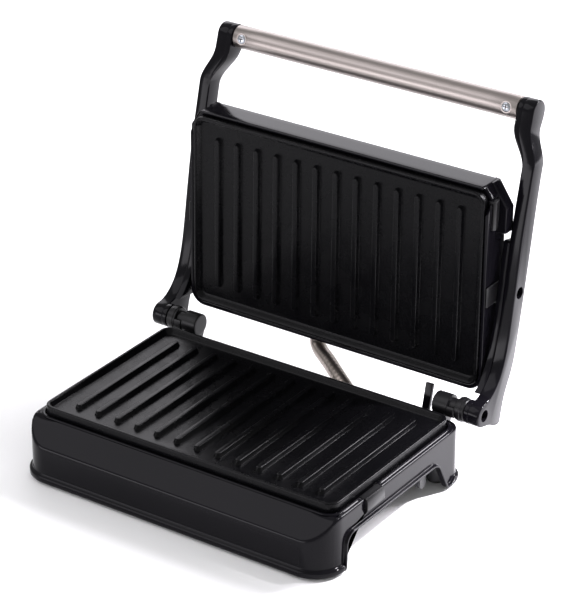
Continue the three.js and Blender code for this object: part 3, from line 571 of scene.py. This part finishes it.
def housing():
    """A skin over rings: the lip, the wall, the rounded top edge and the bead round the opening."""
    columns = housing_columns()
    rings = housing_lip(columns)
    start = rings[-1]
    # along the sides the columns stand evenly spaced at the top, whatever the arch does below
    right_side = [i for i, p in enumerate(start) if abs(p[0] - HALF_X) < NEAR]
    left_side = [i for i, p in enumerate(start) if abs(p[0] + HALF_X) < NEAR]
    last = len(right_side) - 1
    spread = {i: lerp(ARCH_START, ARCH_END, k / last) for k, i in enumerate(right_side)}
    spread.update({i: lerp(ARCH_END, ARCH_START, k / last) for k, i in enumerate(left_side)})
    # the top edge is rounder at the front corners
    edges = []
    for point, _, (nx, ny), _ in columns:
        edges.append(TOP_EDGE + (CORNER_EDGE * abs(nx * ny) if point[1] < PANEL_ZONE else 0))

    def column(i, u):
        x, y, z = start[i]
        height = min(lerp(z, LEDGE, u), LEDGE - edges[i])
        return wall((x, lerp(y, spread.get(i, y), min(1, 2 * u)), z), height)

    levels = [0.12, 0.25, 0.38, 0.48, 0.54, 0.565, 0.58, 0.592, 0.604, 0.616]
    levels += [0.63 + 0.02 * i for i in range(15)] + [0.925, 0.94]
    for u in levels:
        rings.append([column(i, u) for i in range(len(start))])
    start = [(x, spread.get(i, y), z) for i, (x, y, z) in enumerate(start)]
    low = [wall(p, LEDGE - edge) for p, edge in zip(start, edges)]
    tip = [wall(p, LEDGE) for p in start]
    flat = normals_2d([(p[0], p[1]) for p in tip])
    inner = [(p[0] - n[0] * edge, p[1] - n[1] * edge, LEDGE) for p, n, edge in zip(tip, flat, edges)]
    for k in range(6):
        t = k / 5
        rings.append([tuple((1 - t) ** 2 * a + 2 * t * (1 - t) * b + t * t * c for a, b, c in zip(*abc))
                      for abc in zip(low, tip, inner)])
    hole = [opening(p, normal) for p, (_, _, normal, _) in zip(start, columns)]
    normals = normals_2d(hole)
    # a low bead runs round the opening, except past the two plate latches
    bead = [(2.5, 0), (2.3, 0.2), (1.9, 0.48), (1.5, 0.6), (1.0, 0.6), (0.6, 0.5), (0.25, 0.25), (0.06, -0.1),
            (0, -0.5), (0, -5)]
    for grow, rise in bead:
        ring = []
        for (x, y), n in zip(hole, normals):
            at_latch = LATCH_START < y < LATCH_END and abs(x) > LATCH_X
            height = min(0, rise) if at_latch else rise
            ring.append((x + n[0] * grow, y + n[1] * grow, LEDGE + height))
        rings.append(ring)
    return loft(rings)


piece("housing", *housing(), on_base, GLOSS, "base", ("base_housing",), 40)


# ---------------------------------------------------------------- cooking plates
PLATE_X, PLATE_Y, PLATE_R = 115, 69.5, 8
RIB_COUNT, RIB_PITCH, RIB_END = 13, 16.0, 53.4


def plate():
    """Rim at height 0, body below, ribs standing on the floor."""
    profile = [(-10.5, 3.2), (-10.5, 0.9), (-10.35, 0.45), (-10.0, 0.25), (-1.0, 0.0), (-0.55, 0.08),
               (-0.22, 0.3), (-0.04, 0.65), (0.0, 1.0), (0.0, 1.5), (-0.06, 1.9), (-0.3, 2.3), (-0.8, 2.75),
               (-3.2, 3.9), (-3.7, 4.35), (-3.93, 5.0), (-4.0, 5.9)]
    rings = [[(x, y, z) for x, y in rectangle(PLATE_X - amount, PLATE_Y - amount, PLATE_R - amount)]
             for z, amount in profile]
    parts = [loft(rings, cap_end=True)]
    section = [(-4.3, 3.1), (-4.0, 2.85), (-3.75, 2.6), (-1.6, 1.95), (-1.22, 1.75), (-1.04, 1.45),
               (-1.0, 1.1)]
    for i in range(RIB_COUNT):
        centre = (i - RIB_COUNT // 2) * RIB_PITCH
        rib = []
        for z, r in section:
            outline = arc(centre, RIB_END, r, 0, 180, 10) + arc(centre, -RIB_END, r, 180, 360, 10)
            rib.append([(x, y, z) for x, y in outline])
        parts.append(loft(rib, cap_end=True))
    return merged(*parts)


def rim_up(p):
    return on_base((p[0], p[1], p[2] + RIM))


def rim_down(p):
    return on_lid((p[0], p[1], -p[2]))


plate_shape = plate()
piece("plate_lower", *plate_shape, rim_up, COAT, "base", ("lower_plate",), 38)
piece("plate_upper", *plate_shape, rim_down, COAT, "lid", ("upper_plate",), 38)


# ---------------------------------------------------------------- lid cover
LID_X, LID_Y = 118.0, 72.4
LID_RISE_START = -57.5  # in front of this the lower edge of the side is higher


def skirt(y):
    """Height of the cover's lower edge."""
    if y < -71.5:
        return 4.4
    if y < LID_RISE_START:
        return lerp(0.8, 6.6, min(1, (LID_RISE_START - y) / 7))
    return 0.8


def lid_shell():
    path = filleted([(0, -LID_Y), (111.5, -LID_Y), (LID_X, -63.5), (LID_X, LID_Y), (0, LID_Y)],
                    [0, 2.5, 4, 11, 0], 8)
    path = spaced(path, 6.0)
    outline = path + [(-x, y) for x, y in reversed(path[1:-1])]
    lower_edge_heights = [skirt(y) for x, y in outline]

    def ring(amount, heights):
        kx, ky = 1 - amount / LID_X, 1 - amount / LID_Y
        return [(x * kx, y * ky, z) for (x, y), z in zip(outline, heights)]

    # (distance in from the outline, height): above the lower edge first, then above the rim
    turn = [(2.4, 0.6), (2.1, 0.15), (1.6, 0.0), (0.8, 0.0), (0.3, 0.12), (0.05, 0.45), (0.0, 0.9)]
    dome = [(0, 9), (0, 14), (0, 19), (0, 22.2), (0.1, 23.0), (0.4, 23.8), (0.95, 24.6), (1.8, 25.3),
            (9, 29.4), (17.6, 34.2), (18.6, 34.75), (19.8, 35.2), (21.4, 35.55), (23, 35.7), (31, 35.8),
            (31.6, 35.75), (32.2, 35.4), (32.8, 35.0), (33.6, 34.9)]
    rings = [ring(2.4, [11.0] * len(outline))]
    rings += [ring(amount, [z + up for z in lower_edge_heights]) for amount, up in turn]
    rings += [ring(amount, [height] * len(outline)) for amount, height in dome]
    return loft(rings, cap_end=True)


piece("lid_shell", *lid_shell(), on_lid, GLOSS, "lid", ("lid_cover",), 26)


def wing():
    """The small gusset that widens the lid beside each arm."""
    plan = [(109.0, -72.2), (112.6, -72.2), (123.4, -56.2), (123.4, -38.8), (109.0, -38.8)]
    rings = []
    for n, amount in ((14.6, 0.5), (15.0, 0.1), (15.4, 0.0), (23.4, 0.0), (24.0, 0.15), (24.4, 0.6)):
        rings.append([(x, y, n) for x, y in inset(plan, amount)])
    return loft(rings, cap_start=True, cap_end=True)


def corner_frame():
    """A raised frame of five straight sides on the lid's side, round the spring latch."""
    corners = [(-67.6, 12.4), (-61.5, 3.2), (-46.4, 3.2), (-46.4, 14.5), (-60.0, 14.5)]
    rings = []
    section = [(117.8, 1.15), (118.35, 1.1), (118.55, 0.9), (118.55, 0.25), (118.35, 0.0), (117.8, 0.0)]
    for x, amount in section:
        rings.append([(x, y, n) for y, n in inset(corners, amount)])
    return loft(rings)


for name, side in SIDES:
    piece("wing_" + name, *mirrored(wing(), side), on_lid, GLOSS, "lid", (), 24)
    piece("corner_frame_" + name, *mirrored(corner_frame(), side), on_lid, GLOSS, "lid", (), 24)

# ---------------------------------------------------------------- arms
REACH, RISE, BOSS = 199.3, 25.5, 8.2
BEND_FROM, BEND_LENGTH, BEND = 165.0, 25.0, 8.0
BEND_CUTS = 29
ARM_OUT, ARM_IN = 132.5, 123.5
SOCKET_START, SOCKET_FULL = REACH - 42, REACH - 14


def at_arm(a, h):
    """The (y, z) of a point of the closed arm: a along it from the hinge, h above the hinge."""
    return HINGE[0] - a, HINGE[1] + h


def arm_outline():
    """The arm seen from the side, as (a, h) points for at_arm."""
    neck = REACH - 39.3
    top, low = RISE + BOSS, RISE - BOSS
    way = [(-BOSS, 1), (-8.3, 7)]
    way += bezier((-8.6, 10), (-10.8, 17), (-11.6, 22.6), (-8.0, 23.4), 8)
    way += [(-2, 23.5), (6, 23.8)]
    way += bezier((6, 23.8), (16, 24.6), (24, 30), (38, 30), 12)[1:]
    way += [(60, 29.9), (80, 29.5), (neck - 40, 28.2)]
    way += bezier((neck - 40, 28.2), (neck - 10, 27.0), (neck + 12, 26.6), (neck + 24, 30.0), 14)[1:]
    way += bezier((neck + 24, 30.0), (neck + 30, 31.6), (neck + 34, top), (REACH, top), 8)[1:]
    way += arc(REACH, RISE, BOSS, 90, -90, 20)[1:-1]
    way += [(REACH, low)]
    way += bezier((REACH, low), (neck + 30, low - 0.4), (neck + 14, 14.4), (neck, 14.2), 12)[1:]
    way += [(neck - 20, 13.8), (neck - 41, 13.6), (100, 14.5), (79, 15.7)]
    way += bezier((79, 15.7), (56, 17.2), (36, 19), (22, 12.8), 16)[1:]
    way += bezier((22, 12.8), (13, 8.2), (9.6, 3.0), (BOSS, -1.6), 10)[1:]
    return way + arc(0, 0, BOSS, -12, -168, 16)[1:]


def bend_at(a):
    """How far the arm has stepped inwards at a distance from the hinge."""
    t = min(1.0, max(0.0, (a - BEND_FROM) / BEND_LENGTH))
    return BEND * (1 - math.cos(math.pi * t)) / 2


def bent_slab(name, side, outline, x0, x1, edge, nodes, holes=(), taper=None):
    """A slab in arm coordinates, cut across the bend and stepped inwards there.

    A hole is (y, z, radius, depth). A taper is the two distances from the hinge between which the slab grows
    from nothing to its full thickness.
    """
    points = [at_arm(a, h) for a, h in outline]
    area = sum(p[0] * q[1] - q[0] * p[1] for p, q in zip(points, points[1:] + points[:1]))
    if area < 0:
        points.reverse()
    verts, faces = slab(points, x0, x1, edge)
    bm = bmesh.new()
    made = [bm.verts.new(v) for v in verts]
    for f in faces:
        bm.faces.new([made[i] for i in f])
    bmesh.ops.recalc_face_normals(bm, faces=bm.faces)
    for i in range(BEND_CUTS):
        cut = (0, HINGE[0] - (BEND_FROM - 1 + i), 0)
        everything = bm.verts[:] + bm.edges[:] + bm.faces[:]
        bmesh.ops.bisect_plane(bm, geom=everything, plane_co=cut, plane_no=(0, 1, 0), dist=1e-4)
    for v in bm.verts:
        reach = HINGE[0] - v.co.y
        if taper:
            t = min(1.0, max(0.0, (reach - taper[0]) / (taper[1] - taper[0])))
            v.co.x = lerp(x1, v.co.x, t * t * (3 - 2 * t))
        v.co.x = side * (v.co.x - bend_at(reach))
        v.co = on_arms(v.co)
    bmesh.ops.recalc_face_normals(bm, faces=bm.faces)
    mesh = bpy.data.meshes.new(name)
    bm.to_mesh(mesh)
    bm.free()
    obj = finish_piece(name, mesh, GLOSS, "arms", nodes, 30)
    for y, z, radius, depth in holes:
        cutter = lathe_x([(side * (ARM_OUT - depth), radius), (side * (ARM_OUT + 4), radius)], y, z, 40)
        drilled(obj, cutter, on_arms)
    return obj


def drilled(obj, shape, place):
    """Cuts a closed shape out of a piece."""
    mesh = bpy.data.meshes.new("cutter")
    mesh.from_pydata([place(v) for v in shape[0]], [], shape[1])
    bm = bmesh.new()
    bm.from_mesh(mesh)
    bmesh.ops.recalc_face_normals(bm, faces=bm.faces)
    bm.to_mesh(mesh)
    bm.free()
    cutter = bpy.data.objects.new("cutter", mesh)
    bpy.context.scene.collection.objects.link(cutter)
    bpy.context.view_layer.update()
    change = obj.modifiers.new("cut", "BOOLEAN")
    change.object = cutter
    change.operation = "DIFFERENCE"
    change.solver = "EXACT"
    with bpy.context.temp_override(object=obj, active_object=obj):
        bpy.ops.object.modifier_apply(modifier="cut")
    bpy.data.objects.remove(cutter)
    bpy.data.meshes.remove(mesh)
    obj.data.set_sharp_from_angle(angle=math.radians(30))


def lower_edge(a):
    """Height of the arm's underside over its straight part."""
    edge = [(12, 6.5), (18, 10.8), (24, 13.4), (32, 15.6), (42, 16.8), (60, 16.9), (79, 15.7), (100, 14.5),
            (119, 13.6), (150, 14.0)]
    for (a0, h0), (a1, h1) in zip(edge, edge[1:]):
        if a <= a1:
            return lerp(h0, h1, (a - a0) / (a1 - a0))
    return edge[-1][1]


def cover_outline():
    low = [(a, lower_edge(a) - 0.5) for a in [11.5 + i * 3 for i in range(35)]]
    end = low[-1][0]
    height = lower_edge(end)
    nose = [(end + 1.4, height + 1), (end + 1.4, height + 12), (end, height + 14.0)]
    top = [(a, min(28.8, 23 + (a - 12) * 0.2)) for a in [105, 90, 70, 50, 36, 24, 14]]
    return low + nose + top


def socket_outline():
    return [p for p in arm_outline() if p[0] > SOCKET_START]


def stop_collar():
    """A collar round the hinge pin with the tooth that meets the base's stop."""
    profile = [(113.5, 7.0), (113.6, 7.7), (113.9, 8.0), (115.0, 8.15), (115.2, 8.5), (117.6, 8.5),
               (117.8, 8.15), (119.9, 8.0), (120.3, 7.7), (120.4, 7.0)]
    start, end = 158 - OPEN, 214 - OPEN
    tooth = []
    for x, radius in ((107.9, 8.0), (108.2, 8.3), (113.2, 8.3), (113.5, 8.0)):
        outline = arc(*HINGE, radius, start, end, 12) + arc(*HINGE, 6.0, end, start, 12)
        tooth.append([(x, y, z) for y, z in outline])
    return merged(lathe_x(profile, *HINGE), loft(tooth, cap_start=True, cap_end=True))


def hinge_barrel():
    """The barrel round the hinge pin and the riser that holds it on the base."""
    profile = [(96.1, 5.5), (96.15, 6.9), (96.3, 7.35), (96.7, 7.7), (97.3, 7.8), (107.5, 7.8), (107.6, 7.6),
               (107.65, 5.9), (113.0, 5.9)]
    riser = [(66.2, 24.9), (77.6, 24.9), (84.6, 33.0), (90.3, 45.5), (86.0, 50.0), (78.0, 50.0), (75.8, 45.0),
             (75.6, 35.4), (66.2, 35.4)]
    return merged(lathe_x(profile, *HINGE), slab(riser, 96.6, 106.0, 0.7))


def pin_head(inner, y, z):
    """A pin from inside the arm to its flat head, which has a shallow round recess."""
    face = ARM_OUT - 3.9
    profile = [(inner, 2.2), (face - 1.3, 2.2), (face - 1.1, 3.6), (face - 0.3, 3.6), (face, 3.3),
               (face, 1.6), (face - 0.7, 1.5)]
    return lathe_x(profile, y, z, 36)


for name, side in SIDES:
    bent_slab("arm_bar_" + name, side, arm_outline(), ARM_IN, ARM_OUT, 1.1, ("arm_" + name,),
              holes=((*HINGE, 4.2, 5.0), (*PIVOT, 4.1, 5.0)))
    bent_slab("arm_inner_cover_" + name, side, cover_outline(), 119.5, 124.2, 0.5, ("arm_cover_" + name,))
    bent_slab("socket_cheek_" + name, side, socket_outline(), 120.3, 124.5, 0.6, ("handle_socket_" + name,),
              taper=(SOCKET_START, SOCKET_FULL))
    boss = lathe_x(rounded_ends(120.8, 124.5, 8.2, 0.5), *HINGE)
    piece("hinge_boss_" + name, *mirrored(boss, side), on_arms, GLOSS, "arms")
    piece("stop_collar_" + name, *mirrored(stop_collar(), side), on_arms, SATIN, "arms",
          ("hinge_collar_" + name,))
    piece("hinge_barrel_body_" + name, *mirrored(hinge_barrel(), side), on_base, SATIN, "base",
          ("hinge_barrel_" + name,))

for name, side in SIDES:
    for pin, axis, inner in (("hinge_pin_", HINGE, 108.0), ("lid_pivot_pin_", PIVOT, 118.2)):
        bolt = pin_head(inner, *axis)
        piece(pin + "bolt_" + name, *mirrored(bolt, side), on_arms, SATIN, "arms", (pin + name,), 40)

# ---------------------------------------------------------------- grip bar and its screws
GRIP_HALF, GRIP_R = 111.7, 8.0
HANDLE = at_arm(REACH, RISE)
SCREW_X = 104.2


def grip_bar():
    end = [(-GRIP_HALF + 6, 6.6), (-GRIP_HALF, 6.8), (-GRIP_HALF, 7.5), (-GRIP_HALF + 0.15, 7.85),
           (-GRIP_HALF + 0.5, GRIP_R)]
    middle = [(x, GRIP_R) for x in (-90, -60, -30, 0, 30, 60, 90)]
    other_end = [(-x, radius) for x, radius in reversed(end)]
    return lathe_x(end + middle + other_end, *HANDLE, count=64, capped=False)


def cross_slots(x, low):
    """The two tapering cutters of a cross recess in a screw head that faces down."""
    for wide, long in ((0.42, 1.9), (1.9, 0.42)):
        rings = []
        for height, scale in ((-2, 1.15), (0.4, 0.75)):
            rings.append([(x + u * wide * scale, HANDLE[0] + v * long * scale, low + height)
                          for u, v in ((-1, -1), (1, -1), (1, 1), (-1, 1))])
        yield loft(rings, cap_start=True, cap_end=True)


piece("grip_bar", *grip_bar(), on_arms, GRIP, "arms", ("handle_bar",), 40)
for name, side in SIDES:
    x, low = side * SCREW_X, HANDLE[1] - GRIP_R
    # the screw's pan head with its cross recess, the seat round it and the tongue inside the bar's end
    head = lathe_z([(low + 1.6, 3.2), (low - 0.1, 3.25), (low - 0.45, 3.05), (low - 0.75, 2.5),
                    (low - 0.92, 1.6), (low - 0.96, 0.5)], x, HANDLE[0])
    screw = piece("grip_screw_" + name, *head, on_arms, ZINC, "arms", ("handle_screw_" + name,), 40)
    for cutter in cross_slots(x, low):
        drilled(screw, cutter, on_arms)
    seat = lathe_z([(low + 1.2, 3.4), (low - 0.05, 4.1), (low - 0.16, 4.0), (low - 0.16, 3.3),
                    (low + 1.2, 3.3)], x, HANDLE[0])
    piece("screw_seat_" + name, *seat, on_arms, GRIP, "arms", (), 40)
    tongue = lathe_x([(side * 92, 6.4), (side * 112.6, 6.4)], *HANDLE)
    piece("socket_tongue_" + name, *tongue, on_arms, SATIN, "arms", (), 40)

# ---------------------------------------------------------------- wiring conduit
# drawn as it lies when the press is open: from inside the base's gland, below and behind the hinge line,
# into the lid's gland
CONDUIT_PATH = [(30, 74, 28), (30, 81, 28), (24, 86.5, 29.6), (12, 94, 33), (-4, 105.1, 35.9),
                (-15, 112.1, 37.9), (-20.2, 115.5, 40.9), (-21, 116.1, 44.9), (-21, 116.1, 47.4),
                (-21, 116.1, 49.9)]
CONDUIT_R, RIPPLE = 5.35, 0.05
RIPPLE_STEPS = 5  # points of the path to one corrugation
FLEX_START, FLEX_END = 20, -24  # points of the path, counted from either end


def smooth_line(points, step):
    """Catmull-Rom points along a path, at least a step apart."""
    dense = []
    full = [points[0]] + points + [points[-1]]
    for i in range(len(points) - 1):
        p0, p1, p2, p3 = (Vector(p) for p in full[i:i + 4])
        for k in range(24):
            t = k / 24
            dense.append(0.5 * (2 * p1 + (p2 - p0) * t + (2 * p0 - 5 * p1 + 4 * p2 - p3) * t * t
                                + (3 * p1 - p0 - 3 * p2 + p3) * t**3))
    dense.append(Vector(points[-1]))
    out, run = [dense[0]], 0.0
    for a, b in zip(dense, dense[1:]):
        run += (b - a).length
        if run >= step:
            out.append(b)
            run = 0.0
    return out


def tube(line, radius_at, count=28):
    """An open tube along a path of Vectors."""
    rings = []
    side = Vector((0, 0, 1))
    for i, p in enumerate(line):
        ahead = (line[min(i + 1, len(line) - 1)] - line[max(i - 1, 0)]).normalized()
        side = (side - ahead * side.dot(ahead)).normalized()
        other = ahead.cross(side)
        r = radius_at(i)
        rings.append([tuple(p + (side * math.cos(a) + other * math.sin(a)) * r)
                      for a in [2 * math.pi * j / count for j in range(count)]])
    return loft(rings)


def wavy(start):
    """The conduit's radius at each point of a piece that starts at a point of the whole path."""
    return lambda i: CONDUIT_R + RIPPLE * math.cos(2 * math.pi * (i + start) / RIPPLE_STEPS)


line = smooth_line(CONDUIT_PATH, 0.3)
middle = len(line) // 2
first = piece("conduit_lower", *tube(line[:middle + 1], wavy(0)), on_base, CONDUIT, "base",
              ("wiring_conduit",), angle=60, ride=False)
second = piece("conduit_upper", *tube(line[middle:], wavy(middle)), on_base, CONDUIT, "base",
               ("wiring_conduit",), angle=60, ride=False)
on_base(line[FLEX_START])
on_base(line[middle])
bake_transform(first)
on_base(line[middle])
on_base(line[FLEX_END])
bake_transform(second)

# ---------------------------------------------------------------- small parts with rounded edges
EDGE_WIDTHS = {
    "lower_plate_latch": 0.5, "upper_plate_latch": 0.4, "pivot_bracket_left": 0.25,
    "pivot_bracket_right": 0.25, "hinge_release_lever": 0.5, "lever_bracket": 0.4, "bottom_cover": 0.5,
    "mains_inlet": 0.5, "conduit_gland_base": 0.4, "conduit_gland_lid": 0.4,
}
for node, width in EDGE_WIDTHS.items():
    softened(node, width, SATIN if node.startswith("pivot_bracket") else None)
PAD = [(0.0, 3.2), (0.0, 5.2), (0.12, 5.6), (0.45, 5.9), (0.9, 6.0), (1.7, 5.95), (1.95, 5.7), (2.0, 5.2),
       (2.2, 2.7), (4.5, 2.7)]
for place in ("front_left", "front_right", "rear_left", "rear_right"):
    low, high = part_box("foot_" + place)
    x, y = (low[0] + high[0]) / 2 / MM, (low[1] + high[1]) / 2 / MM - DRAWING_Y
    piece("pad_" + place, *lathe_z(PAD, x, y), on_base, RUBBER, "base", ("foot_" + place,), 50)

# ---------------------------------------------------------------- floor and light
FLOOR_HALF = 30
LIGHT_COLOUR = (1.0, 0.975, 1.035)
floor_finish = Finish("floor", (0.98, 0.98, 0.98), 0.9)
floor_finish.vary_colour(floor_finish.noise(3, 2), (0.975, 0.975, 0.975), (0.985, 0.985, 0.985))
floor_mesh = bpy.data.meshes.new("floor")
floor_mesh.from_pydata([(u * FLOOR_HALF, v * FLOOR_HALF, 0) for u, v in ((-1, -1), (1, -1), (1, 1), (-1, 1))],
                       [], [(0, 1, 2, 3)])
floor_mesh.materials.append(floor_finish.mat)
floor = bpy.data.objects.new("floor", floor_mesh)
bpy.context.scene.collection.objects.link(floor)

world = bpy.data.worlds.new("studio")
world.use_nodes = True
background = world.node_tree.nodes["Background"]
background.inputs["Color"].default_value = (1, 1, 1, 1)
background.inputs["Strength"].default_value = 0.6
bpy.context.scene.world = world
bpy.context.scene.view_settings.view_transform = "Standard"


def add_light(name, data, location, target):
    """Puts a light at a place, in metres, facing a target."""
    data.color = LIGHT_COLOUR
    obj = bpy.data.objects.new(name, data)
    obj.location = location
    obj.rotation_euler = (Vector(location) - Vector(target)).to_track_quat("Z", "Y").to_euler()
    bpy.context.scene.collection.objects.link(obj)


def softbox(name, location, size, energy, target=(0, 0, 0.1)):
    data = bpy.data.lights.new(name, "AREA")
    data.shape = "RECTANGLE"
    data.size, data.size_y = size
    data.energy = energy
    add_light(name, data, location, target)


def spot(name, location, energy, cone, target):
    data = bpy.data.lights.new(name, "SPOT")
    data.energy = energy
    data.spot_size = math.radians(cone)
    data.spot_blend = 0.7
    data.shadow_soft_size = 0.05
    add_light(name, data, location, target)


softbox("front_left_top", (-1.0, -0.95, 1.55), (1.3, 1.3), 10)
softbox("back_left", (-1.1, 1.55, 1.05), (1.5, 1.1), 14)
softbox("edge_light", (0.80, 1.16, 0.84), (0.32, 0.85), 40, (0.12, -0.04, 0.04))
softbox("high_back", (0.2, 1.15, 1.25), (0.5, 0.35), 9)
softbox("front_low", (-0.50, -1.02, 0.17), (0.8, 0.3), 4, (0.1, 0, 0.13))
spot("floor_spot", (0.75, 0.55, 1.15), 235, 21, (0.265, 0.115, 0))
